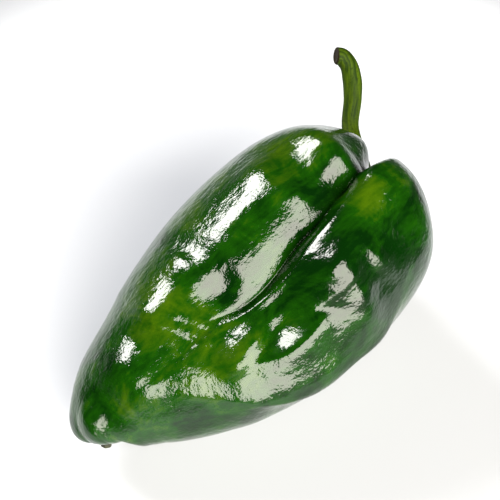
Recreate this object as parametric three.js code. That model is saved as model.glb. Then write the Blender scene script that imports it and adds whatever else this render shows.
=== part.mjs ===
import * as THREE from 'three';

// A poblano pepper as picked, lying on its side with its stem left on. Millimetres, +X along the pod from
// its blossom end to its stem end, +Z up. The origin is the middle of the flat spot that the pod rests on.
// Angles round the pod and the stem are degrees from the top, growing towards -Y.

// Driving dimensions
const POD_WIDTH = 68.4;
const POD_HEIGHT = 61.6;
const STEM_DIAMETER = 5.4;
const CALYX_DIAMETER = 19.8;
const SCAR_DIAMETER = 2.6;

// Facets: rings along a piece and sides round it. The pod's sides are closer together by its valley, where
// they drift to follow the fold, and its rings are closer together by its two ends.
const POD_RINGS = 70;
const POD_SIDES = 56;
const SIDE_CROWDING = 0.35;
const SIDE_DRIFT_WIDTH = 60;
const RING_CROWDING = 0.08;
const VALLEY_ANGLE = 20;
const STEM_RINGS = 40;
const STEM_SIDES = 30;
const SCAR_RINGS = 9;
const SCAR_SIDES = 14;

// The pod's middle line: distance from the blossom end, then x, y, z. It hooks down at the blossom end.
const POD_LINE = [
  [0, -59.4, -0.6, 8.5],
  [8, -57.7, 0.8, 11.3],
  [14, -54.7, 1.2, 13.4],
  [20, -50.6, 1.4, 15.3],
  [40, -33, 0.4, 20],
  [60, -14, -0.8, 24.5],
  [80, 5, -1, 28.5],
  [100, 25, 0, 31.5],
  [124, 49, 0, 33],
  [132, 57, 0, 33.5],
];

// The pod's wall from the dimple at its blossom end, over its shoulder, to the floor of the stem cavity:
// distance along the middle line, shares of half the pod's width and height, then shares of the grooves'
// depth, of the notches in the shoulder, and of the creases and swellings.
const POD_WALL = [
  [3.4, 0, 0, 0, 0, 0],
  [3.1, 0.055, 0.06, 0, 0, 0],
  [0.3, 0.085, 0.095, 0, 0, 0],
  [0.6, 0.13, 0.145, 0, 0, 0.3],
  [2.6, 0.2, 0.215, 0, 0, 1],
  [7, 0.29, 0.31, 0, 0, 1],
  [16, 0.415, 0.422, 0.02, 0, 1],
  [28, 0.573, 0.571, 0.08, 0, 1],
  [42, 0.749, 0.74, 0.22, 0, 1],
  [58, 0.895, 0.877, 0.45, 0, 1],
  [74, 0.977, 0.958, 0.65, 0, 1],
  [88, 1, 1, 0.85, 0.05, 1],
  [100, 0.977, 1, 1, 0.2, 1],
  [110, 0.883, 0.929, 1, 0.5, 1],
  [117.5, 0.719, 0.766, 0.9, 0.8, 1],
  [121, 0.512, 0.536, 0.7, 1, 0.6],
  [118.8, 0.415, 0.45, 0.4, 0.7, 0],
  [113, 0.365, 0.4, 0.15, 0.2, 0],
  [109, 0.36, 0.395, 0, 0, 0],
  [107.2, 0.315, 0.35, 0, 0, 0],
  [106.8, 0.13, 0.14, 0, 0, 0],
  [106.8, 0, 0, 0, 0, 0],
];

// Grooves between the lobes: the line of each by distance and angle, its depth, and the notch that it cuts
// in the shoulder, each with its width in degrees on either side.
const GROOVES = [
  {
    line: [[40, 24], [55, 22], [62, 25], [70, 24.5], [76, 22], [84, 18], [96, 15.5], [111, 9.5], [125, 6]],
    depth: 4.5, before: 17, after: 6, notch: 6.5, notchBefore: 19, notchAfter: 4,
  },
  {
    line: [[0, -92], [125, -98]],
    depth: 1.5, before: 20, after: 20, notch: 3, notchBefore: 20, notchAfter: 20,
  },
  {
    line: [[0, 158], [125, 152]],
    depth: 2.2, before: 20, after: 20, notch: 3.5, notchBefore: 20, notchAfter: 20,
  },
];

// How far each lobe reaches past the shoulder: angle, half width in degrees, reach.
const LOBES = [[36, 32, 2], [-50, 30, 0.8]];

// The sharp fold down the valley: its line by distance, angle and height, which is less than nothing.
const FOLD_LINE = [
  [50, 18, 0], [54.7, 21, -1.2], [61, 25, -1.2], [69, 25, -1.4], [75.6, 22, -2], [82, 18.3, -2.4],
  [90, 17.5, -2.2], [96, 16, -1.4], [101, 14, -1.2], [111, 9.5, -1], [120, 7, -0.5],
];

// Creases, of which the first is the fold: the line of each, how fast it fades on either side, and the
// radius of its edge. The others are the trough that the fold lies in, the flat along the pod's lower side,
// the blunt ridge below the flat, and the crests of the far and the near lobe.
const CREASES = [
  { line: FOLD_LINE, before: 1.1, after: 1.4, edge: 0.3 },
  {
    line: [
      [54, 20, 0], [63, 22, -1], [72, 21, -1.8], [80, 17, -1.8], [90, 14, -1], [100, 12, 0], [104, 12, 0],
    ],
    before: 9, after: 8, edge: 1,
  },
  {
    line: [
      [24, 24, 0], [28, 27, 0], [40, 44, -0.4], [50, 53, -1.2], [62, 57, -3], [75, 58, -3.4], [86, 60, -2.4],
      [98, 64, 0], [104, 64, 0],
    ],
    before: 12, after: 9, edge: 6,
  },
  {
    line: [
      [16, 30, 0], [28, 38, 0.8], [40, 60, 1.4], [50, 76, 2], [62, 88, 2.6], [75, 89, 2.8], [86, 89, 2],
      [98, 86, 0], [104, 86, 0],
    ],
    before: 10, after: 3.5, edge: 0.8,
  },
  {
    line: [[58, -6, 0], [66, -8, 1.2], [76, -9, 2.2], [88, -5, 2.2], [97, 0, 1], [106, 4, 0], [112, 4, 0]],
    before: 8, after: 9, edge: 3,
  },
  {
    line: [
      [56, 53, 0], [65, 51, 0.3], [75.6, 46, 0.8], [80, 42, 1.2], [84, 40, 1.2], [89, 38, 0.8], [94, 36, 0],
      [98, 36, 0],
    ],
    before: 3, after: 12, edge: 0.8,
  },
];

// Swellings and dents: distance, angle, half length along and across the pod, height, turn in degrees.
const SWELLINGS = [
  [102, -14, 9, 10, 1, 0],
  [51, -14, 7, 6, 1.4, 0],
  [53, 6, 6, 5, -1.4, 0],
  [93, 30, 6, 6, 1.2, 0],
  [59, 11, 7, 4.5, -1.8, 0],
  [70, 38, 16, 8, -2.6, 10],
  [60, 60, 24, 8, 1.8, -25],
  [82, 50, 12, 7, 1, -20],
  [78, 55, 3, 6, -0.8, 0],
  [52, 32, 8, 6, -1.4, 0],
  [44, 20, 3, 12, -0.6, 0],
  [98, 106, 20, 13, -1.6, 0],
  [62, -88, 34, 22, 1.5, 0],
  [14, -80, 16, 9, 1.2, 0],
  [114, 66, 10, 14, 1.6, 0],
  [113, 24, 9, 6, 1.6, 0],
  [114, -24, 9, 14, -1.2, 0],
];

// Relief fades out where the pod is thinner than this.
const SLIM_RADIUS = 12;

// A radius is never less than this, so that relief can be divided by it at a pole.
const LEAST_RADIUS = 0.01;

// How far ahead and behind a middle line is read to find its direction.
const FRAME_STEP = 0.5;

// The stem's middle line from the floor of the cavity, out over the far shoulder and up to its cut end.
const STEM_LINE = [
  [32.9, 0.1, 32.1],
  [37.5, 0.6, 32.4],
  [42.5, 3.5, 32.7],
  [47, 9.5, 33.2],
  [50.5, 16, 34.2],
  [53.6, 21.5, 36.4],
  [58.8, 26.3, 41.9],
  [61.4, 29.6, 45.5],
  [62.5, 33.2, 49.2],
  [61.9, 35, 50.6],
  [60.5, 36, 51.1],
];

// The calyx: distance along the stem's line, share of the calyx's radius, shares of the ribs and the teeth.
const CALYX_PROFILE = [
  [0, 0, 0, 0],
  [0, 0.55, 0, 0],
  [0.3, 0.9, 0.4, 0.6],
  [1.1, 1, 1, 1],
  [2.2, 0.92, 1, 0.3],
  [3.6, 0.72, 1, 0],
  [5, 0.54, 1, 0],
];

// The stalk: distance along the stem's line, share of the stalk's radius, share of the ribs.
const STALK_PROFILE = [
  [7, 1.5, 0.8],
  [10, 1.25, 0.6],
  [15, 1.1, 0.5],
  [24, 1.02, 0.5],
  [34, 0.94, 0.5],
  [41, 1, 0.5],
  [46, 1.06, 0.5],
  [50.5, 1, 0.4],
];

// The stalk's cut end: distance back from the end of the line, then as on the stalk.
const CUT_PROFILE = [[1, 0.94, 0.3], [0.3, 0.9, 0.2], [0, 0.72, 0], [0, 0, 0]];

const STEM_RIBS = 5;
const RIB_HEIGHT = 0.05;
const TOOTH_LENGTH = 0.7;
const TOOTH_SHARPNESS = 4;

// The dry scar of the blossom in the dimple: distance along the pod's middle line, share of its radius.
const SCAR_PROFILE = [[0.9, 0], [0.8, 0.7], [0.2, 1], [-0.6, 0.8], [-1.3, 0.85], [-1.8, 0.6], [-1.8, 0]];
const SCAR_RIBS = 4;
const SCAR_RIB_HEIGHT = 0.12;

const UP = new THREE.Vector3(0, 0, 1);
const radians = THREE.MathUtils.degToRad;

// The difference between two angles, from -180 to 180 degrees.
function turned(angle, about) {
  return THREE.MathUtils.euclideanModulo(angle - about + 180, 360) - 180;
}

// A bell curve that is 1 in the middle and falls to 0.37 one width away.
function bell(distance, width) {
  return Math.exp(-((distance / width) ** 2));
}

// The slopes of the values at row i, from the rows on both sides.
function slopesAt(rows, i) {
  const before = rows[Math.max(i - 1, 0)];
  const here = rows[i];
  const after = rows[Math.min(i + 1, rows.length - 1)];
  const stepBefore = here[0] - before[0];
  const stepAfter = after[0] - here[0];
  return here.slice(1).map((value, k) => {
    const riseBefore = value - before[k + 1];
    const riseAfter = after[k + 1] - value;
    if (stepBefore === 0) return riseAfter / stepAfter;
    if (stepAfter === 0) return riseBefore / stepBefore;
    const weighted = (riseBefore / stepBefore) * stepAfter + (riseAfter / stepAfter) * stepBefore;
    return weighted / (stepBefore + stepAfter);
  });
}

// Rows of [place, value, ...] joined by a smooth curve: the values at one place.
function smooth(rows, place) {
  const last = rows.length - 1;
  const at = THREE.MathUtils.clamp(place, rows[0][0], rows[last][0]);
  let i = 0;
  while (i < last - 1 && at >= rows[i + 1][0]) i += 1;
  const gap = rows[i + 1][0] - rows[i][0];
  const u = (at - rows[i][0]) / gap;
  const slopeIn = slopesAt(rows, i);
  const slopeOut = slopesAt(rows, i + 1);
  return rows[i].slice(1).map((value, k) =>
    (1 + 2 * u) * (1 - u) ** 2 * value
    + u * (1 - u) ** 2 * gap * slopeIn[k]
    + u * u * (3 - 2 * u) * rows[i + 1][k + 1]
    + u * u * (u - 1) * gap * slopeOut[k]);
}

// The rows of a profile with the distance travelled along it put in front, so that it can double back.
function alongWall(rows) {
  let travelled = 0;
  return rows.map((row, i) => {
    if (i > 0) {
      const [a, b] = [rows[i - 1], row];
      travelled += Math.hypot(b[0] - a[0], b[1] - a[1], b[2] - a[2]);
    }
    return [travelled, ...row];
  });
}

// A place on a middle line, with the directions sideways (towards -Y) and upwards from it.
function lineFrame(rows, place) {
  const middle = new THREE.Vector3(...smooth(rows, place));
  const ahead = new THREE.Vector3(...smooth(rows, place + FRAME_STEP));
  const behind = new THREE.Vector3(...smooth(rows, place - FRAME_STEP));
  const forward = ahead.sub(behind).normalize();
  const side = forward.clone().cross(UP).normalize();
  const top = side.clone().cross(forward);
  return { middle, forward, side, top };
}

// One closed mesh from rings of points whose first and last ring are single points.
function closedMesh(name, material, rings, sides, pointAt) {
  const positions = [];
  const index = [];
  const vertex = (ring, side) => {
    if (ring === 0) return 0;
    if (ring === rings - 1) return 1 + (rings - 2) * sides;
    return 1 + (ring - 1) * sides + (side % sides);
  };
  for (let ring = 0; ring < rings; ring += 1) {
    const pole = ring === 0 || ring === rings - 1;
    for (let side = 0; side < (pole ? 1 : sides); side += 1) {
      positions.push(...pointAt(ring / (rings - 1), side / sides).toArray());
    }
  }
  for (let ring = 0; ring < rings - 1; ring += 1) {
    for (let side = 0; side < sides; side += 1) {
      const [a, b] = [vertex(ring, side), vertex(ring, side + 1)];
      const [c, d] = [vertex(ring + 1, side + 1), vertex(ring + 1, side)];
      if (ring > 0) index.push(a, b, c);
      if (ring < rings - 2) index.push(a, c, d);
    }
  }
  const geometry = new THREE.BufferGeometry();
  geometry.setAttribute('position', new THREE.Float32BufferAttribute(positions, 3));
  geometry.setIndex(index);
  geometry.computeVertexNormals();
  const mesh = new THREE.Mesh(geometry, material);
  mesh.name = name;
  return mesh;
}

// Grooves and notches at one place: the change of the wall's radius, and of its place along the pod.
function lobeRelief(along, angle, radius, grooveShare, notchShare) {
  let outward = 0;
  let forward = 0;
  for (const groove of GROOVES) {
    const away = turned(angle, smooth(groove.line, along)[0]);
    const slim = Math.min(1, radius / SLIM_RADIUS);
    outward -= groove.depth * grooveShare * slim * bell(away, away < 0 ? groove.before : groove.after);
    forward -= groove.notch * notchShare * bell(away, away < 0 ? groove.notchBefore : groove.notchAfter);
  }
  for (const [lobeAngle, width, reach] of LOBES) {
    forward += reach * notchShare * bell(turned(angle, lobeAngle), width);
  }
  return { outward, forward };
}

// Creases, swellings and dents at one place: the change of the wall's radius.
function skinRelief(along, angle, radius) {
  const arc = radians(1) * radius;
  let outward = 0;
  for (const crease of CREASES) {
    const [creaseAngle, height] = smooth(crease.line, along);
    const across = turned(angle, creaseAngle) * arc;
    const fade = across < 0 ? crease.before : crease.after;
    outward += height * Math.exp(-(Math.hypot(across, crease.edge) - crease.edge) / fade);
  }
  for (const [place, placeAngle, halfLength, halfWidth, height, turn] of SWELLINGS) {
    const dx = along - place;
    const dy = turned(angle, placeAngle) * arc;
    const u = dx * Math.cos(radians(turn)) + dy * Math.sin(radians(turn));
    const v = dy * Math.cos(radians(turn)) - dx * Math.sin(radians(turn));
    outward += height * bell(u, halfLength) * bell(v, halfWidth);
  }
  return outward;
}

// The pod: a tapering loft with the grooves, notches, creases and swellings on it, cut flat where it rests.
function pod() {
  const wall = alongWall(POD_WALL.map(([along, width, height, ...shares]) =>
    [along, width * POD_WIDTH / 2, height * POD_HEIGHT / 2, ...shares]));
  const wallLength = wall[wall.length - 1][0];
  const pointAt = (ringShare, sideShare) => {
    const travelled = (ringShare - RING_CROWDING * Math.sin(radians(ringShare * 360))) * wallLength;
    const [along, halfWidth, halfHeight, groove, notch, fold] = smooth(wall, travelled);
    const even = sideShare * 360;
    const crowded = even - THREE.MathUtils.radToDeg(SIDE_CROWDING * Math.sin(radians(even)));
    const drift = (smooth(FOLD_LINE, along)[0] - VALLEY_ANGLE) * bell(turned(even, 0), SIDE_DRIFT_WIDTH);
    const angle = VALLEY_ANGLE + crowded + drift;
    const across = Math.max(halfWidth, 0) * Math.sin(radians(angle));
    const upward = Math.max(halfHeight, 0) * Math.cos(radians(angle));
    const radius = Math.max(Math.hypot(across, upward), LEAST_RADIUS);
    const lobes = lobeRelief(along, angle, radius, groove, notch);
    const outward = lobes.outward + fold * skinRelief(along, angle, radius);
    const growth = 1 + outward / radius;
    const frame = lineFrame(POD_LINE, along + lobes.forward);
    const point = frame.middle.addScaledVector(frame.side, across * growth)
      .addScaledVector(frame.top, upward * growth);
    point.z = Math.max(point.z, 0);
    return point;
  };
  const skin = new THREE.MeshStandardMaterial({ color: 0x1f5a10, roughness: 0.2, metalness: 0 });
  return closedMesh('pod', skin, POD_RINGS, POD_SIDES, pointAt);
}

// The stem with its calyx, one grown piece: a saucer on the cavity's floor that narrows to a ribbed stalk.
function stem() {
  const line = alongWall(STEM_LINE);
  const lineLength = line[line.length - 1][0];
  const profile = alongWall([
    ...CALYX_PROFILE.map(([along, share, ...shares]) => [along, share * CALYX_DIAMETER / 2, 0, ...shares]),
    ...STALK_PROFILE.map(([along, share, ribs]) => [along, share * STEM_DIAMETER / 2, 0, ribs, 0]),
    ...CUT_PROFILE.map(([back, share, ribs]) => [lineLength - back, share * STEM_DIAMETER / 2, 0, ribs, 0]),
  ]);
  const profileLength = profile[profile.length - 1][0];
  const pointAt = (ringShare, sideShare) => {
    const [along, radius, , ribs, teeth] = smooth(profile, ringShare * profileLength);
    const angle = sideShare * 2 * Math.PI;
    const wave = Math.cos(STEM_RIBS * angle);
    const tooth = TOOTH_LENGTH * teeth * ((1 + wave) / 2) ** TOOTH_SHARPNESS;
    const reach = Math.max(radius, 0) * (1 + RIB_HEIGHT * ribs * wave) + tooth;
    const frame = lineFrame(line, along);
    return frame.middle.addScaledVector(frame.side, reach * Math.sin(angle))
      .addScaledVector(frame.top, reach * Math.cos(angle));
  };
  const rind = new THREE.MeshStandardMaterial({ color: 0x6a7f12, roughness: 0.5, metalness: 0 });
  return closedMesh('stem', rind, STEM_RINGS, STEM_SIDES, pointAt);
}

// The scar: the withered foot of the blossom, a ribbed nub standing out of the dimple.
function blossomScar() {
  const profile = alongWall(SCAR_PROFILE.map(([along, share]) => [along, share * SCAR_DIAMETER / 2, 0]));
  const profileLength = profile[profile.length - 1][0];
  const start = lineFrame(POD_LINE, 0);
  const pointAt = (ringShare, sideShare) => {
    const [along, radius] = smooth(profile, ringShare * profileLength);
    const angle = sideShare * 2 * Math.PI;
    const reach = Math.max(radius, 0) * (1 + SCAR_RIB_HEIGHT * Math.cos(SCAR_RIBS * angle));
    return start.middle.clone().addScaledVector(start.forward, along)
      .addScaledVector(start.side, reach * Math.sin(-angle))
      .addScaledVector(start.top, reach * Math.cos(angle));
  };
  const cork = new THREE.MeshStandardMaterial({ color: 0x5c4a22, roughness: 0.8, metalness: 0 });
  return closedMesh('blossom_scar', cork, SCAR_RINGS, SCAR_SIDES, pointAt);
}

const pepper = new THREE.Group();
pepper.add(pod(), stem(), blossomScar());

export default pepper;
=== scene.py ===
"""A poblano pepper lying on its side on a pale board, in soft studio light."""

import math

import bpy
import numpy as np
from mathutils import Matrix, Vector


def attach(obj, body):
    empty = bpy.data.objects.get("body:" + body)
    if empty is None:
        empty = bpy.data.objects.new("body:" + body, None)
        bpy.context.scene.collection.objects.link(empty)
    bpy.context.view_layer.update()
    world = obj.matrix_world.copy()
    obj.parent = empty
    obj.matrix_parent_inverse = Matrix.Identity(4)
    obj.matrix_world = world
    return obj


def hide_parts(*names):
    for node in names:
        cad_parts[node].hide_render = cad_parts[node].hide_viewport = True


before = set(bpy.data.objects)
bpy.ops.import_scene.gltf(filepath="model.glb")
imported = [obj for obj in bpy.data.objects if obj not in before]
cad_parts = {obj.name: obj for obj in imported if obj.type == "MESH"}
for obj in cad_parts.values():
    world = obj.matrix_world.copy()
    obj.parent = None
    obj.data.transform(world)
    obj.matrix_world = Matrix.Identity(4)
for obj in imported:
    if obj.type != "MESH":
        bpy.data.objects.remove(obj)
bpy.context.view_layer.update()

# Pod
# The fruit itself: a hollow berry with a crisp green wall about 4 mm thick under a thin waxy skin.
# It grew in one piece, its lobes pressed together at the shoulder and folded sharply down the valley
# between them. It lies on a small flattened spot.
POD_WIDTH = 68.4
POD_HEIGHT = 61.6
POD_RINGS = 270
POD_SIDES = 340

# The mesh is finer at both ends of the wall and round the valley, and its sides follow the fold's line:
# how much finer, the angle of the valley, and how far round from it the sides drift, in degrees.
RING_CROWDING = 0.08
SIDE_CROWDING = 0.35
VALLEY_ANGLE = 20
SIDE_DRIFT_WIDTH = 60

# Grooves fade out where the pod is thinner than this, and a radius is never less than the second one, so
# that a height can be divided by it at a pole.
SLIM_RADIUS = 12
LEAST_RADIUS = 0.01

# Places on the pod are given by a distance from the blossom end in millimetres and an angle in degrees
# from the top, growing towards the near side (-Y). Other sizes are in millimetres, and in metres from the
# floor's section on.

# The middle line: distance from the blossom end, then x, y, z.
POD_LINE = [
    (0, -59.4, -0.6, 8.5),
    (8, -57.7, 0.8, 11.3),
    (14, -54.7, 1.2, 13.4),
    (20, -50.6, 1.4, 15.3),
    (40, -33, 0.4, 20),
    (60, -14, -0.8, 24.5),
    (80, 5, -1, 28.5),
    (100, 25, 0, 31.5),
    (124, 49, 0, 33),
    (132, 57, 0, 33.5),
]

# The wall from the dimple at the blossom end, over the shoulder, to the floor of the stem cavity:
# distance along the middle line, shares of half the width and height, of the grooves, notches and folds.
POD_WALL = [
    (3.4, 0, 0, 0, 0, 0),
    (3.1, 0.055, 0.06, 0, 0, 0),
    (0.3, 0.085, 0.095, 0, 0, 0),
    (0.6, 0.13, 0.145, 0, 0, 0.3),
    (2.6, 0.2, 0.215, 0, 0, 1),
    (7, 0.29, 0.31, 0, 0, 1),
    (16, 0.415, 0.422, 0.02, 0, 1),
    (28, 0.573, 0.571, 0.08, 0, 1),
    (42, 0.749, 0.74, 0.22, 0, 1),
    (58, 0.895, 0.877, 0.45, 0, 1),
    (74, 0.977, 0.958, 0.65, 0, 1),
    (88, 1, 1, 0.85, 0.05, 1),
    (100, 0.977, 1, 1, 0.2, 1),
    (110, 0.883, 0.929, 1, 0.5, 1),
    (117.5, 0.719, 0.766, 0.9, 0.8, 1),
    (121, 0.512, 0.536, 0.7, 1, 0.6),
    (118.8, 0.415, 0.45, 0.4, 0.7, 0),
    (113, 0.365, 0.4, 0.15, 0.2, 0),
    (109, 0.36, 0.395, 0, 0, 0),
    (107.2, 0.315, 0.35, 0, 0, 0),
    (106.8, 0.13, 0.14, 0, 0, 0),
    (106.8, 0, 0, 0, 0, 0),
]

# Grooves between the lobes: line by distance and angle, then the depth and the width either side in
# degrees, then how far the groove notches the shoulder and the width of that either side.
VALLEY_LINE = [(40, 24), (55, 22), (62, 25), (70, 24.5), (76, 22), (84, 18), (96, 15.5), (111, 9.5), (125, 6)]
GROOVES = [
    (VALLEY_LINE, 4.5, 17, 4, 6.5, 19, 4),
    ([(0, -92), (125, -98)], 1.5, 20, 20, 3, 20, 20),
    ([(0, 158), (125, 152)], 2.2, 20, 20, 3.5, 20, 20),
]

# How far each lobe reaches past the shoulder: angle, half width in degrees, reach.
LOBES = [(36, 32, 2), (-50, 30, 0.8)]

# Creases, of which the first is the sharp fold down the valley: line by distance, angle and height
# (less than nothing for a fold), how fast each fades on either side, and the radius of its edge.
FOLD_LINE = [
    (50, 18, 0), (54.7, 21, -0.5), (61, 25, -0.6), (69, 25, -0.7), (75.6, 22, -1.4), (82, 18.3, -2.4),
    (90, 17.5, -2.2), (96, 16, -1.4), (101, 14, -1.2), (111, 9.5, -1), (120, 7, -0.5),
]
CREASES = [
    (FOLD_LINE, 1.1, 0.7, 0.2),
    # the trough that the fold lies in
    ([(54, 20, 0), (63, 22, -1), (72, 21, -1.8), (80, 17, -1.8), (90, 14, -1), (100, 12, 0),
      (104, 12, 0)], 9, 8, 2.5),
    # the flat along the lower side, and the blunt ridge below it
    ([(24, 24, 0), (28, 27, 0), (40, 44, -0.4), (50, 53, -1.2), (62, 57, -3), (75, 58, -3.4), (86, 60, -2.4),
      (98, 64, 0), (104, 64, 0)], 12, 9, 6),
    ([(16, 30, 0), (28, 38, 0.8), (40, 60, 1.4), (50, 76, 2), (62, 88, 2.6), (75, 89, 2.8), (86, 89, 2),
      (98, 86, 0), (104, 86, 0)], 10, 3.5, 0.8),
    # the crest of the far lobe beside the valley
    ([(58, -6, 0), (66, -8, 1.2), (76, -9, 2.2), (88, -5, 2.2), (97, 0, 1), (106, 4, 0),
      (112, 4, 0)], 8, 9, 3),
    # the crest of the near lobe
    ([(56, 53, 0), (64, 52, 0.5), (70, 50, 1.1), (76, 48, 1.6), (85, 45, 1.6), (90, 42, 0),
      (94, 42, 0)], 3, 12, 0.8),
    ([(58, 60, 0), (64, 59, 1), (70, 58, 2), (78, 57, 2.5), (85, 56, 2.5), (91, 55, 1), (98, 55, 0),
      (102, 55, 0)], 8, 14, 2),
    # the step up to it from the valley, and the hollow beside the fold
    ([(76, 40, 0), (80, 38, 1), (84, 35.5, 2.4), (88, 32.5, 2.4), (92, 31, 0.8), (96, 31, 0)], 3, 14, 1),
    ([(48, 27, 0), (54, 29, -1.6), (62, 33, -2), (70, 34, -2), (77, 30, -1), (82, 27, 0),
      (86, 27, 0)], 5, 5, 1.5),
    # the lip of the valley beside the fold
    ([(50, 24, 0), (54, 26, 0), (60, 29, 0.4), (69, 29.5, 0.5), (76, 27, 0.7), (84, 22.5, 1.1), (92, 21, 1.1),
      (98, 19.5, 0.6), (104, 18, 0), (108, 18, 0)], 0.8, 3, 0.15),
    # finer folds: the groove across the near lobe, the crest above the flat, and wrinkles by the blossom end
    ([(70, 46, 0), (73, 48, -0.6), (76, 51, -0.8), (79, 55, -0.5), (83, 58, 0), (87, 60, 0)], 1.2, 2, 0.5),
    ([(52, 54, 0), (55, 55, 1.6), (59, 56, 3.3), (68, 55, 3.3), (72, 54, 1.4), (76, 53, 0),
      (80, 53, 0)], 2.5, 14, 0.5),
    ([(32, -8, 0), (35, -6, 0), (38, 0, -0.5), (42, 10, -0.4), (45, 22, -0.6), (48, 34, -0.5), (52, 44, 0),
      (56, 44, 0)], 1, 3, 0.4),
    ([(37, -6, 0), (40, -4, 0), (43, 2, -0.5), (47, 12, -0.4), (50, 24, -0.6), (53, 34, -0.3), (56, 42, 0),
      (60, 42, 0)], 1, 2.5, 0.4),
]

# Swellings and dents: distance, angle, half length along and across the pod, height, turn in degrees.
SWELLINGS = [
    (102, -14, 9, 10, 1, 0),
    (41, -6, 7, 7, 2, 0),
    (53, 6, 6, 5, -1.4, 0),
    (93, 30, 6, 6, 1.2, 0),
    (59, 11, 7, 4.5, -1.8, 0),
    (70, 38, 16, 8, -2.6, 10),
    (60, 60, 24, 8, 1.8, -25),
    (82, 50, 12, 7, 1, -20),
    (78, 55, 3, 6, -0.8, 0),
    (52, 32, 8, 6, -1.4, 0),
    (44, 20, 3, 12, -0.6, 0),
    (98, 106, 20, 13, -1.6, 0),
    (62, -88, 34, 22, 1.5, 0),
    (14, -80, 16, 9, 1.2, 0),
    (114, 66, 10, 14, 1.6, 0),
    (113, 24, 9, 6, 1.6, 0),
    (114, -24, 9, 14, -1.2, 0),
    # smaller ones that catch the light
    (107, -10, 4.5, 13, 2.5, 0),
    (104, 1, 6, 6, 1.2, 0),
    (97, -11, 5.5, 11, -2, 0),
    (90.5, -23, 6, 6, 1.4, 0),
    (90, 0, 3, 4, 1.1, -30),
    (92, 50, 7, 10, 0.8, 0),
    (81, 36, 7, 5.5, 4.8, 0),
    (74, 46, 6, 5, 1.5, 0),
    (63, 49, 9, 3, -3, -6),
    (104.5, 10, 7, 4.5, -3, 0),
    (72, 28, 3, 2, 0.6, 0),
    (57, 43, 5, 5, 3.6, 0),
    (50, 48, 4, 4, 3, 0),
    (25.5, 12, 6, 7, 2.8, 0),
    (9, 0, 4.5, 4, 2.3, 0),
    (57, -14, 5, 8, 1.6, 0),
    (62, 79.5, 14, 6, 2.2, 14),
    (47, 92, 10, 11, 1.6, 0),
    (71, 98, 10, 7, -1.3, 0),
    (60.5, -20, 4, 8, -1.2, 0),
    (61, 7, 4, 3.5, -1.5, 20),
    (80, 67, 6.5, 8, 2.6, 0),
    (93.2, 46, 2.8, 9, 1.4, -19),
    (110, 4, 3.5, 6, 2, 0),
]

# Short puckers drawn in towards the blossom scar, at these angles: their heights by distance, how fast
# they fade on either side, and the radius of their edge.
PUCKER_ANGLES = [-75, -30, 12, 50, 95, 140]
PUCKER_HEIGHTS = [(0, 0), (2, -0.5), (5, -0.4), (10, 0)]
PUCKER_FADE = 0.9
PUCKER_EDGE = 0.25
for pucker_angle in PUCKER_ANGLES:
    pucker_line = [(place, pucker_angle, height) for place, height in PUCKER_HEIGHTS]
    CREASES.append((pucker_line, PUCKER_FADE, PUCKER_FADE, PUCKER_EDGE))


def bell(distance, width):
    """1 in the middle, falling to 0.37 one width away."""
    return np.exp(-(distance / width) ** 2)


def turned(angle, about):
    """The difference between two angles, from -180 to 180 degrees."""
    return (angle - about + 180) % 360 - 180


def smooth(rows, place):
    """Rows of (place, value, ...) joined by a smooth curve: the values at each place."""
    table = np.array(rows, float)
    places, values = table[:, 0], table[:, 1:]
    gaps = np.diff(places)[:, None]
    steps = np.diff(values, axis=0) / gaps
    inner = (steps[:-1] * gaps[1:] + steps[1:] * gaps[:-1]) / (gaps[1:] + gaps[:-1])
    slopes = np.vstack([steps[:1], inner, steps[-1:]])
    at = np.clip(place, places[0], places[-1])
    i = np.clip(np.searchsorted(places, at, side="right") - 1, 0, len(places) - 2)
    gap = gaps[i]
    u = (at - places[i])[..., None] / gap
    return (
        (1 + 2 * u) * (1 - u) ** 2 * values[i]
        + u * (1 - u) ** 2 * gap * slopes[i]
        + u * u * (3 - 2 * u) * values[i + 1]
        + u * u * (u - 1) * gap * slopes[i + 1]
    )


def along_wall(rows):
    """The rows of a profile with the distance travelled along it put in front, so it can double back."""
    table = np.array(rows, float)
    strides = np.linalg.norm(np.diff(table[:, :3], axis=0), axis=1)
    return np.column_stack([np.concatenate([[0], np.cumsum(strides)]), table])


def line_frame(rows, place):
    """Places on a middle line, with the directions forwards, sideways (towards -Y) and upwards there."""
    half_step = 0.5
    middle = smooth(rows, place)
    forward = smooth(rows, place + half_step) - smooth(rows, place - half_step)
    forward /= np.linalg.norm(forward, axis=-1, keepdims=True)
    side = np.cross(forward, (0, 0, 1))
    side /= np.linalg.norm(side, axis=-1, keepdims=True)
    return middle, forward, side, np.cross(side, forward)


def grown_mesh(name, points, straight):
    """A closed mesh, in metres, from rings of points in millimetres, of which the first and the last are
    single points. `straight` is where each point would be if the piece were straight: its distance along,
    then sideways and upwards."""
    rings, sides = points.shape[:2]
    count = (rings - 2) * sides + 2

    def flat(grid):
        return np.vstack([grid[0, :1], grid[1:-1].reshape(-1, 3), grid[-1, :1]]) / 1000

    ring, side = np.meshgrid(np.arange(rings - 3), np.arange(sides), indexing="ij")
    after = (side + 1) % sides
    here = 1 + ring * sides
    quads = np.stack([here + side, here + after, here + sides + after, here + sides + side], -1)
    last = count - 1 - sides
    start_fan = [(0, 1 + (k + 1) % sides, 1 + k) for k in range(sides)]
    end_fan = [(count - 1, last + k, last + (k + 1) % sides) for k in range(sides)]
    mesh = bpy.data.meshes.new(name)
    mesh.from_pydata(flat(points).tolist(), [], quads.reshape(-1, 4).tolist() + start_fan + end_fan)
    unbent = mesh.attributes.new("straight", "FLOAT_VECTOR", "POINT")
    unbent.data.foreach_set("vector", flat(straight).ravel())
    mesh.shade_smooth()
    mesh.update()
    piece = bpy.data.objects.new(name, mesh)
    bpy.context.scene.collection.objects.link(piece)
    return piece


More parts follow.
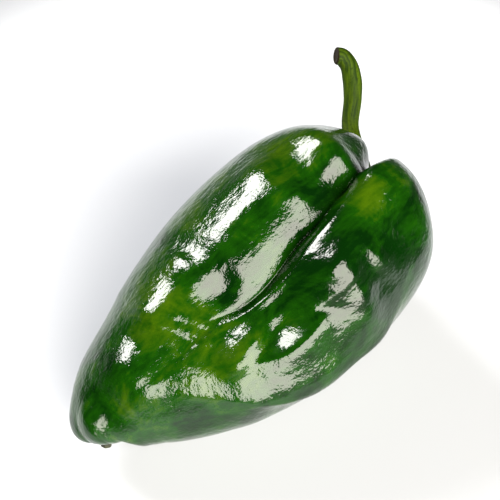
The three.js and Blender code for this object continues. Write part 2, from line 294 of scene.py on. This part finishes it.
def pod_surface():
    """The pod's points, where they would be if it were straight, and their angles."""
    wall = along_wall([(a, w * POD_WIDTH / 2, h * POD_HEIGHT / 2, g, n, f) for a, w, h, g, n, f in POD_WALL])
    ring_share = np.linspace(0, 1, POD_RINGS)
    travelled = (ring_share - RING_CROWDING * np.sin(2 * np.pi * ring_share)) * wall[-1, 0]
    along, half_width, half_height, groove, notch, fold = np.split(smooth(wall, travelled), 6, axis=1)
    even = np.arange(POD_SIDES)[None] * 360 / POD_SIDES
    crowded = even - np.degrees(SIDE_CROWDING * np.sin(np.radians(even)))
    drift = (smooth(FOLD_LINE, along)[..., 0] - VALLEY_ANGLE) * bell(turned(even, 0), SIDE_DRIFT_WIDTH)
    angle = VALLEY_ANGLE + crowded + drift
    along = along + 0 * angle
    across = np.maximum(half_width, 0) * np.sin(np.radians(angle))
    upward = np.maximum(half_height, 0) * np.cos(np.radians(angle))
    radius = np.maximum(np.hypot(across, upward), LEAST_RADIUS)
    slim = np.minimum(1, radius / SLIM_RADIUS)
    degree_length = np.radians(1) * radius
    outward = np.zeros_like(radius)
    forward = np.zeros_like(radius)
    for line, depth, before, after, notch_depth, notch_before, notch_after in GROOVES:
        away = turned(angle, smooth(line, along)[..., 0])
        outward -= depth * groove * slim * bell(away, np.where(away < 0, before, after))
        forward -= notch_depth * notch * bell(away, np.where(away < 0, notch_before, notch_after))
    for lobe_angle, width, reach in LOBES:
        forward += reach * notch * bell(turned(angle, lobe_angle), width)
    for line, before, after, edge in CREASES:
        crease_angle, height = np.moveaxis(smooth(line, along), -1, 0)
        away = turned(angle, crease_angle) * degree_length
        fade = np.where(away < 0, before, after)
        outward += fold * height * np.exp(-(np.hypot(away, edge) - edge) / fade)
    for place, place_angle, half_length, half_breadth, height, turn in SWELLINGS:
        dx = along - place
        dy = turned(angle, place_angle) * degree_length
        cosine, sine = math.cos(math.radians(turn)), math.sin(math.radians(turn))
        lengthwise = bell(dx * cosine + dy * sine, half_length)
        crosswise = bell(dy * cosine - dx * sine, half_breadth)
        outward += fold * height * lengthwise * crosswise
    growth = 1 + outward / radius
    middle, _, side, top = line_frame(POD_LINE, along + forward)
    points = middle + (across * growth)[..., None] * side + (upward * growth)[..., None] * top
    points[..., 2] = np.maximum(points[..., 2], 0)
    straight = np.stack([along, across, upward], -1)
    return points, straight, angle


pod_points, pod_straight, pod_angle = pod_surface()
pod = grown_mesh("pod_skin", pod_points, pod_straight)

# Where the skin is painted paler or darker than most of it. This is partly its own paler and darker patches
# and partly painted light: painted reflections, a dim olive glow, on the shoulder beside the valley and on
# the near side towards the blossom end, and painted shade in the dents, along the hollow by the fold, and on
# the front, where the fill lamp lights it strongly. Each row: distance, angle, half length and half breadth
# in millimetres, and how much.
SKIN_TONE_AND_PAINTED_LIGHT = [
    (98, -22, 14, 14, 0.9),
    (60, -32, 26, 9, 0.5),
    (44, -8, 12, 9, 0.7),
    (22, 45, 18, 8, 0.5),
    (42, 78, 16, 7, -0.2),
    (48, 40, 10, 9, 1.2),
    (103, 27, 6, 7, 2),
    (94, 58, 18, 20, -0.9),
    (98, 4, 9, 6, -1),
    (61, 8, 7, 5, -0.9),
    (74, 32, 12, 5, -0.5),
    (66, 92, 26, 5, -0.6),
]


def skin_tone_and_painted_light_at(along, angle, radius):
    """How much paler the skin is painted at each place: its own tone, with painted reflections and painted
    shade.
    """
    skin_tone_and_painted_light = np.zeros_like(along)
    for place, place_angle, half_length, half_breadth, amount in SKIN_TONE_AND_PAINTED_LIGHT:
        across = turned(angle, place_angle) * np.radians(1) * radius
        skin_tone_and_painted_light += amount * bell(along - place, half_length) * bell(across, half_breadth)
    return skin_tone_and_painted_light


pod_radius = np.hypot(pod_straight[..., 1], pod_straight[..., 2])
# The skin's own paler and darker patches, together with painted reflections and painted shade, kept on the
# mesh for the skin's colour.
skin_tone_and_painted_light = skin_tone_and_painted_light_at(pod_straight[..., 0], pod_angle, pod_radius)
flat_skin_tone_and_painted_light = np.concatenate([skin_tone_and_painted_light[0, :1], skin_tone_and_painted_light[1:-1].ravel(), skin_tone_and_painted_light[-1, :1]])
pod.data.attributes.new("skin_tone_and_painted_light", "FLOAT", "POINT").data.foreach_set("value", flat_skin_tone_and_painted_light)


def colour(hex_code):
    """An sRGB hex colour as linear red, green, blue and alpha."""
    channels = [int(hex_code[i:i + 2], 16) / 255 for i in (1, 3, 5)]
    return [c / 12.92 if c <= 0.04045 else ((c + 0.055) / 1.055) ** 2.4 for c in channels] + [1]


def new_material(name):
    """A new material, with its node tree and its shader."""
    made = bpy.data.materials.new(name)
    made.use_nodes = True
    return made, made.node_tree, made.node_tree.nodes["Principled BSDF"]


def add_node(tree, kind, inputs=(), **settings):
    """Adds one node with its settings; each input is a value, or another node's output to link."""
    made = tree.nodes.new(kind)
    for name, value in settings.items():
        setattr(made, name, value)
    for name, value in dict(inputs).items():
        if isinstance(value, bpy.types.NodeSocket):
            tree.links.new(value, made.inputs[name])
        else:
            made.inputs[name].default_value = value
    return made


# Waxed pepper skin: a dark green rind, mottled where the flesh behind it is thinner, under a clear glossy
# cuticle. Pores half a millimetre apart and shallow growth streaks break the edges of its reflections.
# A stretch below 1 draws a pattern out lengthwise.
SKIN_GREENS = [(0.12, "#021c01"), (0.5, "#0c3401"), (0.95, "#304a02")]
MOTTLE_SIZE = 11
MOTTLE_CONTRAST = 1.6
MOTTLE_SHIFT = -0.7
STREAK_WIDTH = 1.4
STREAK_STRETCH = 0.22
STREAK_CONTRAST = 0.6
STREAK_HEIGHT = 0.1
# How strongly the painted reflections, the painted shade and the skin's own paler patches show in the green.
SKIN_TONE_AND_PAINTED_LIGHT_CONTRAST = 0.38
WAVE_SIZE = 7
WAVE_HEIGHT = 0.6
PORE_SIZE = 0.45
PORE_HEIGHT = 0.03
skin, tree, shader = new_material("waxed_pepper_skin")
shader.inputs["IOR"].default_value = 1.45
grown = add_node(tree, "ShaderNodeAttribute", attribute_name="straight").outputs["Vector"]
mottle = add_node(tree, "ShaderNodeTexNoise", {
    "Vector": grown, "Scale": 1000 / MOTTLE_SIZE, "Detail": 5, "Roughness": 0.65, "Distortion": 0.6})
streaked = add_node(tree, "ShaderNodeMapping", {"Vector": grown, "Scale": (STREAK_STRETCH, 1, 1)})
streak = add_node(tree, "ShaderNodeTexNoise", {
    "Vector": streaked.outputs[0], "Scale": 1000 / STREAK_WIDTH, "Detail": 3})
# Painted light: the skin's own paler and darker patches, together with painted reflections and painted shade,
# read from the mesh.
skin_tone_and_painted_light_attribute = add_node(tree, "ShaderNodeAttribute", attribute_name="skin_tone_and_painted_light")
noise_part = add_node(tree, "ShaderNodeMath", {
    0: mottle.outputs["Fac"], 1: MOTTLE_CONTRAST, 2: MOTTLE_SHIFT}, operation="MULTIPLY_ADD")
streak_part = add_node(tree, "ShaderNodeMath", {
    0: streak.outputs["Fac"], 1: STREAK_CONTRAST, 2: noise_part.outputs[0]}, operation="MULTIPLY_ADD")
depth = add_node(tree, "ShaderNodeMath", {
    0: skin_tone_and_painted_light_attribute.outputs["Fac"], 1: SKIN_TONE_AND_PAINTED_LIGHT_CONTRAST, 2: streak_part.outputs[0]}, operation="MULTIPLY_ADD")
green = add_node(tree, "ShaderNodeValToRGB", {"Fac": depth.outputs[0]})
stops = green.color_ramp.elements
stops.new(0.5)
for stop, (position, hex_code) in zip(stops, SKIN_GREENS):
    stop.position = position
    stop.color = colour(hex_code)
tree.links.new(green.outputs["Color"], shader.inputs["Base Color"])
rough = add_node(tree, "ShaderNodeMapRange", {
    "Value": streak.outputs["Fac"], "To Min": 0.08, "To Max": 0.16})
tree.links.new(rough.outputs[0], shader.inputs["Roughness"])
pores = add_node(tree, "ShaderNodeTexNoise", {"Vector": grown, "Scale": 1000 / PORE_SIZE, "Detail": 2})
wave = add_node(tree, "ShaderNodeTexNoise", {
    "Vector": grown, "Scale": 1000 / WAVE_SIZE, "Detail": 4, "Roughness": 0.62})
wave_bump = add_node(tree, "ShaderNodeBump", {
    "Height": wave.outputs["Fac"], "Distance": WAVE_HEIGHT / 1000, "Strength": 1})
streak_bump = add_node(tree, "ShaderNodeBump", {
    "Height": streak.outputs["Fac"], "Distance": STREAK_HEIGHT / 1000, "Strength": 1,
    "Normal": wave_bump.outputs[0]})
pore_bump = add_node(tree, "ShaderNodeBump", {
    "Height": pores.outputs["Fac"], "Distance": PORE_HEIGHT / 1000, "Strength": 1,
    "Normal": streak_bump.outputs[0]})
tree.links.new(pore_bump.outputs[0], shader.inputs["Normal"])
pod.data.materials.append(skin)
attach(pod, "root")
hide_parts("pod")

# Stem
# The stalk that carried the fruit, with the calyx it grew from sunk in the stem cavity. It is one tough,
# fibrous green piece, ribbed lengthwise, cut through with shears at its upper end.
# Rib heights, here and on the blossom scar, are shares of the radius.
STEM_DIAMETER = 5.4
CALYX_DIAMETER = 19.8
STEM_RINGS = 300
STEM_SIDES = 96
STEM_RIBS = 5
RIB_HEIGHT = 0.05
TOOTH_LENGTH = 0.7
TOOTH_SHARPNESS = 4
FINE_RIBS = 19
FINE_RIB_HEIGHT = 0.012
FINE_RIB_WANDER = 0.6
WANDER_LENGTH = 4

# The stem's middle line: x, y, z.
STEM_LINE = along_wall([
    (32.9, 0.1, 32.1), (37.5, 0.6, 32.4), (42.5, 3.5, 32.7), (47, 9.5, 33.2), (50.5, 16, 34.2),
    (53.6, 21.5, 36.4), (58.8, 26.3, 41.9), (61.4, 29.6, 45.5), (62.5, 33.2, 49.2), (61.9, 35, 50.6),
    (60.5, 36, 51.1),
])
STEM_LENGTH = STEM_LINE[-1, 0]

# Distance along the stem's line, share of the radius, shares of the ribs and the teeth.
CALYX_PROFILE = [
    (0, 0, 0, 0), (0, 0.55, 0, 0), (0.3, 0.9, 0.4, 0.6), (1.1, 1, 1, 1), (2.2, 0.92, 1, 0.3),
    (3.6, 0.72, 1, 0), (5, 0.54, 1, 0),
]
STALK_PROFILE = [
    (7, 1.5, 0.8), (10, 1.25, 0.6), (15, 1.1, 0.5), (24, 1.02, 0.5), (34, 0.94, 0.5), (41, 1, 0.5),
    (46, 1.06, 0.5), (50.5, 1, 0.4),
]
# The cut end: distance back from the end of the line, then as on the stalk. Its rim stands a little proud.
CUT_PROFILE = [
    (1, 0.96, 0.3), (0.35, 0.95, 0.2), (0.05, 0.86, 0.1), (0, 0.76, 0), (0.15, 0.5, 0), (0.2, 0, 0),
]


def stem_surface():
    """The stem's points, and where they would be if it were straight."""
    profile = along_wall(
        [(a, share * CALYX_DIAMETER / 2, 0, ribs, teeth) for a, share, ribs, teeth in CALYX_PROFILE]
        + [(a, share * STEM_DIAMETER / 2, 0, ribs, 0) for a, share, ribs in STALK_PROFILE]
        + [(STEM_LENGTH - a, share * STEM_DIAMETER / 2, 0, ribs, 0) for a, share, ribs in CUT_PROFILE]
    )
    travelled = np.linspace(0, profile[-1, 0], STEM_RINGS)
    along, radius, _, ribs, teeth = np.split(smooth(profile, travelled), 5, axis=1)
    angle = np.arange(STEM_SIDES)[None] * 2 * np.pi / STEM_SIDES
    wave = np.cos(STEM_RIBS * angle)
    tooth = TOOTH_LENGTH * teeth * ((1 + wave) / 2) ** TOOTH_SHARPNESS
    wander = FINE_RIB_WANDER * np.sin(along / WANDER_LENGTH)
    fine = FINE_RIB_HEIGHT * ribs * np.cos(FINE_RIBS * angle + wander)
    reach = np.maximum(radius, 0) * (1 + RIB_HEIGHT * ribs * wave + fine) + tooth
    along = along + 0 * reach
    middle, _, side, top = line_frame(STEM_LINE, along)
    across, upward = reach * np.sin(angle), reach * np.cos(angle)
    points = middle + across[..., None] * side + upward[..., None] * top
    return points, np.stack([along, across, upward], -1)


stem = grown_mesh("stem_with_calyx", *stem_surface())

# Fibrous green stalk: satin, olive green with lighter lengthwise fibres and small dark flecks, browned where
# it was cut.
FIBRE_SPACING = 0.7
FIBRE_STRETCH = 0.08
FIBRE_HEIGHT = 0.12
FLECK_SIZE = 0.6
FLECK_HEIGHT = 0.06
CUT_DEPTH = 0.5
stalk, tree, shader = new_material("fibrous_green_stalk")
shader.inputs["IOR"].default_value = 1.42
grown = add_node(tree, "ShaderNodeAttribute", attribute_name="straight").outputs["Vector"]
drawn_out = add_node(tree, "ShaderNodeMapping", {"Vector": grown, "Scale": (FIBRE_STRETCH, 1, 1)})
fibres = add_node(tree, "ShaderNodeTexNoise", {
    "Vector": drawn_out.outputs[0], "Scale": 1000 / FIBRE_SPACING, "Detail": 3})
flecks = add_node(tree, "ShaderNodeTexNoise", {"Vector": grown, "Scale": 1000 / FLECK_SIZE, "Detail": 3})
lighter = add_node(tree, "ShaderNodeMapRange", {
    "Value": fibres.outputs["Fac"], "From Min": 0.38, "From Max": 0.66, "To Min": 0, "To Max": 1})
rind_green = add_node(tree, "ShaderNodeMix", {
    0: lighter.outputs[0], 6: colour("#1a2c01"), 7: colour("#394c02")}, data_type="RGBA")
darker = add_node(tree, "ShaderNodeMapRange", {
    "Value": flecks.outputs["Fac"], "From Min": 0.52, "From Max": 0.72, "To Min": 0, "To Max": 0.7})
flecked = add_node(tree, "ShaderNodeMix", {
    0: darker.outputs[0], 6: rind_green.outputs[2], 7: colour("#101a02")}, data_type="RGBA")
parts = add_node(tree, "ShaderNodeSeparateXYZ", {"Vector": grown})
browned = add_node(tree, "ShaderNodeMapRange", {
    "Value": parts.outputs["X"], "From Min": (STEM_LENGTH - CUT_DEPTH) / 1000,
    "From Max": (STEM_LENGTH - CUT_DEPTH / 2) / 1000, "To Min": 0, "To Max": 1})
rind = add_node(tree, "ShaderNodeMix", {
    0: browned.outputs[0], 6: flecked.outputs[2], 7: colour("#1c1606")}, data_type="RGBA")
tree.links.new(rind.outputs[2], shader.inputs["Base Color"])
shader.inputs["Roughness"].default_value = 0.6
shader.inputs["Specular IOR Level"].default_value = 0.1
fibre_bump = add_node(tree, "ShaderNodeBump", {
    "Height": fibres.outputs["Fac"], "Distance": FIBRE_HEIGHT / 1000, "Strength": 1})
fleck_bump = add_node(tree, "ShaderNodeBump", {
    "Height": flecks.outputs["Fac"], "Distance": FLECK_HEIGHT / 1000, "Strength": 1,
    "Normal": fibre_bump.outputs[0]})
tree.links.new(fleck_bump.outputs[0], shader.inputs["Normal"])
stem.data.materials.append(stalk)
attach(stem, "root")
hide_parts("stem")

# Blossom scar
# The withered foot of the blossom, left when the petals fell: a dry, corky, ribbed nub. It grew with the
# pod and sits in the dimple at its end.
SCAR_DIAMETER = 3.2
SCAR_RINGS = 60
SCAR_SIDES = 56
SCAR_RIBS = 4
SCAR_RIB_HEIGHT = 0.12

# Distance from the blossom end, outwards where it is negative, and share of the radius.
SCAR_PROFILE = [(0.9, 0), (0.8, 0.7), (0.2, 1), (-0.6, 0.8), (-1.5, 0.9), (-2.3, 0.7), (-2.3, 0)]


def scar_surface():
    """The scar's points, and where they would be along a straight pod."""
    profile = along_wall([(a, share * SCAR_DIAMETER / 2, 0) for a, share in SCAR_PROFILE])
    along, radius, _ = np.split(smooth(profile, np.linspace(0, profile[-1, 0], SCAR_RINGS)), 3, axis=1)
    angle = np.arange(SCAR_SIDES)[None] * 2 * np.pi / SCAR_SIDES
    reach = np.maximum(radius, 0) * (1 + SCAR_RIB_HEIGHT * np.cos(SCAR_RIBS * angle))
    along = along + 0 * reach
    middle, forward, side, top = line_frame(POD_LINE, np.zeros_like(along))
    across, upward = reach * np.sin(-angle), reach * np.cos(angle)
    points = middle + along[..., None] * forward + across[..., None] * side + upward[..., None] * top
    return points, np.stack([along, across, upward], -1)


scar = grown_mesh("blossom_foot", *scar_surface())

# Dry cork: matt olive brown, wrinkled, with darker cracks.
WRINKLE_SIZE = 0.5
WRINKLE_HEIGHT = 0.2
cork, tree, shader = new_material("dry_cork")
shader.inputs["Roughness"].default_value = 0.7
grown = add_node(tree, "ShaderNodeAttribute", attribute_name="straight").outputs["Vector"]
wrinkles = add_node(tree, "ShaderNodeTexNoise", {
    "Vector": grown, "Scale": 1000 / WRINKLE_SIZE, "Detail": 3})
cracks = add_node(tree, "ShaderNodeMapRange", {
    "Value": wrinkles.outputs["Fac"], "From Min": 0.35, "From Max": 0.6, "To Min": 0, "To Max": 1})
brown = add_node(tree, "ShaderNodeMix", {
    0: cracks.outputs[0], 6: colour("#0d1004"), 7: colour("#262a08")}, data_type="RGBA")
tree.links.new(brown.outputs[2], shader.inputs["Base Color"])
wrinkle_bump = add_node(tree, "ShaderNodeBump", {
    "Height": wrinkles.outputs["Fac"], "Distance": WRINKLE_HEIGHT / 1000, "Strength": 1})
tree.links.new(wrinkle_bump.outputs[0], shader.inputs["Normal"])
scar.data.materials.append(cork)
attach(scar, "root")
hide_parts("blossom_scar")

# Floor
# A plain pale board under the pepper with a painted pool of light: pale round the pepper and painted dark
# beyond it, standing in for a dark room, so that the glossy skin mirrors darkness at its edges. It isn't part
# of the object.

# Sizes from here on are in metres: how far the floor goes, the middle of the painted pool of light, and where
# the painted darkening beyond it starts and stops.
FLOOR_REACH = 3
PAINTED_POOL_MIDDLE = (0.012, 0.012, 0)
PAINTED_POOL_REACH = 0.125
PAINTED_DARK_REACH = 0.18
table = bpy.data.meshes.new("pale_floor")
corners = [(x * FLOOR_REACH, y * FLOOR_REACH, 0) for x, y in [(-1, -1), (1, -1), (1, 1), (-1, 1)]]
table.from_pydata(corners, [], [(0, 1, 2, 3)])
floor = bpy.data.objects.new("pale_floor", table)
bpy.context.scene.collection.objects.link(floor)

# Matt board with a painted pool of light, pale in the middle and painted dark further out; it takes soft
# shadows and shows no glints.
board, tree, shader = new_material("board_with_painted_light_pool")
shader.inputs["Roughness"].default_value = 0.7
place = add_node(tree, "ShaderNodeTexCoord").outputs["Object"]
from_middle = add_node(tree, "ShaderNodeVectorMath", {0: place, 1: PAINTED_POOL_MIDDLE}, operation="DISTANCE")
painted_dark_share = add_node(tree, "ShaderNodeMapRange", {
    "Value": from_middle.outputs["Value"], "From Min": PAINTED_POOL_REACH, "From Max": PAINTED_DARK_REACH,
    "To Min": 0, "To Max": 1})
# Painted light: pale within the pool, painted dark beyond it for the darkness of the room.
painted_pool_colour = add_node(tree, "ShaderNodeMix", {
    0: painted_dark_share.outputs[0], 6: colour("#bcbfc6"), 7: colour("#242424")}, data_type="RGBA")
tree.links.new(painted_pool_colour.outputs[2], shader.inputs["Base Color"])
table.materials.append(board)

# Camera
# It looks down at the near side of the pod from its blossom end, as the photograph does. The point that it
# looks at lies left of and below the picture's middle, so it stands a little further right and higher.
CAMERA_AZIMUTH = -41.5
CAMERA_ELEVATION = 52
CAMERA_DISTANCE = 0.6
LOOK_AT = Vector((-0.007, 0, 0.028))
LOOK_PIXEL = (245, 297)
FRAME_PIXELS = 500
PIXELS_PER_METRE = 3530
SENSOR_WIDTH = 36
azimuth, elevation = math.radians(CAMERA_AZIMUTH), math.radians(CAMERA_ELEVATION)
level = math.cos(elevation)
back = Vector((math.sin(azimuth) * level, -math.cos(azimuth) * level, math.sin(elevation)))
right = Vector((math.cos(azimuth), math.sin(azimuth), 0))
above = back.cross(right)
lens = bpy.data.cameras.new("camera")
lens.sensor_width = SENSOR_WIDTH
lens.lens = PIXELS_PER_METRE * CAMERA_DISTANCE * SENSOR_WIDTH / FRAME_PIXELS
camera = bpy.data.objects.new("camera", lens)
bpy.context.scene.collection.objects.link(camera)
aside = (FRAME_PIXELS / 2 - LOOK_PIXEL[0]) / PIXELS_PER_METRE
raised = (LOOK_PIXEL[1] - FRAME_PIXELS / 2) / PIXELS_PER_METRE
camera_place = LOOK_AT + back * CAMERA_DISTANCE + right * aside + above * raised
camera_turn = Matrix((right, above, back)).transposed().to_4x4()
camera.matrix_world = Matrix.Translation(camera_place) @ camera_turn
bpy.context.scene.camera = camera

# Lights
# Two soft boxes: a white one high behind on the left, and a larger, dimmer one in front on the right, in a
# nearly dark room.

# Each box's direction from the pod (to the right, above and towards the camera), its distance, width and
# height in metres, its power in watts and its tint.
SOFT_BOXES = [
    ("key_soft_box", (-0.6, 0.76, 0.1), 2.0, (1, 1), 88, "#fdfbf8"),
    ("fill_soft_box", (0.47, -0.33, 0.82), 2.0, (2.8, 1.8), 245, "#f4efe4"),
]
for name, (to_right, to_above, to_camera), distance, size, power, tint in SOFT_BOXES:
    lamp = bpy.data.lights.new(name, "AREA")
    lamp.shape = "RECTANGLE"
    lamp.size, lamp.size_y = size
    lamp.energy = power
    lamp.color = colour(tint)[:3]
    box = bpy.data.objects.new(name, lamp)
    bpy.context.scene.collection.objects.link(box)
    direction = (right * to_right + above * to_above + back * to_camera).normalized()
    box_turn = direction.to_track_quat("Z", "Y").to_matrix().to_4x4()
    box.matrix_world = Matrix.Translation(LOOK_AT + direction * distance) @ box_turn

ROOM_LIGHT = 0.03
room = bpy.data.worlds.new("studio")
bpy.context.scene.world = room
room.use_nodes = True
walls = room.node_tree.nodes["Background"]
walls.inputs["Color"].default_value = colour("#f2f4f6")
walls.inputs["Strength"].default_value = ROOM_LIGHT
bpy.context.scene.view_settings.view_transform = "Standard"
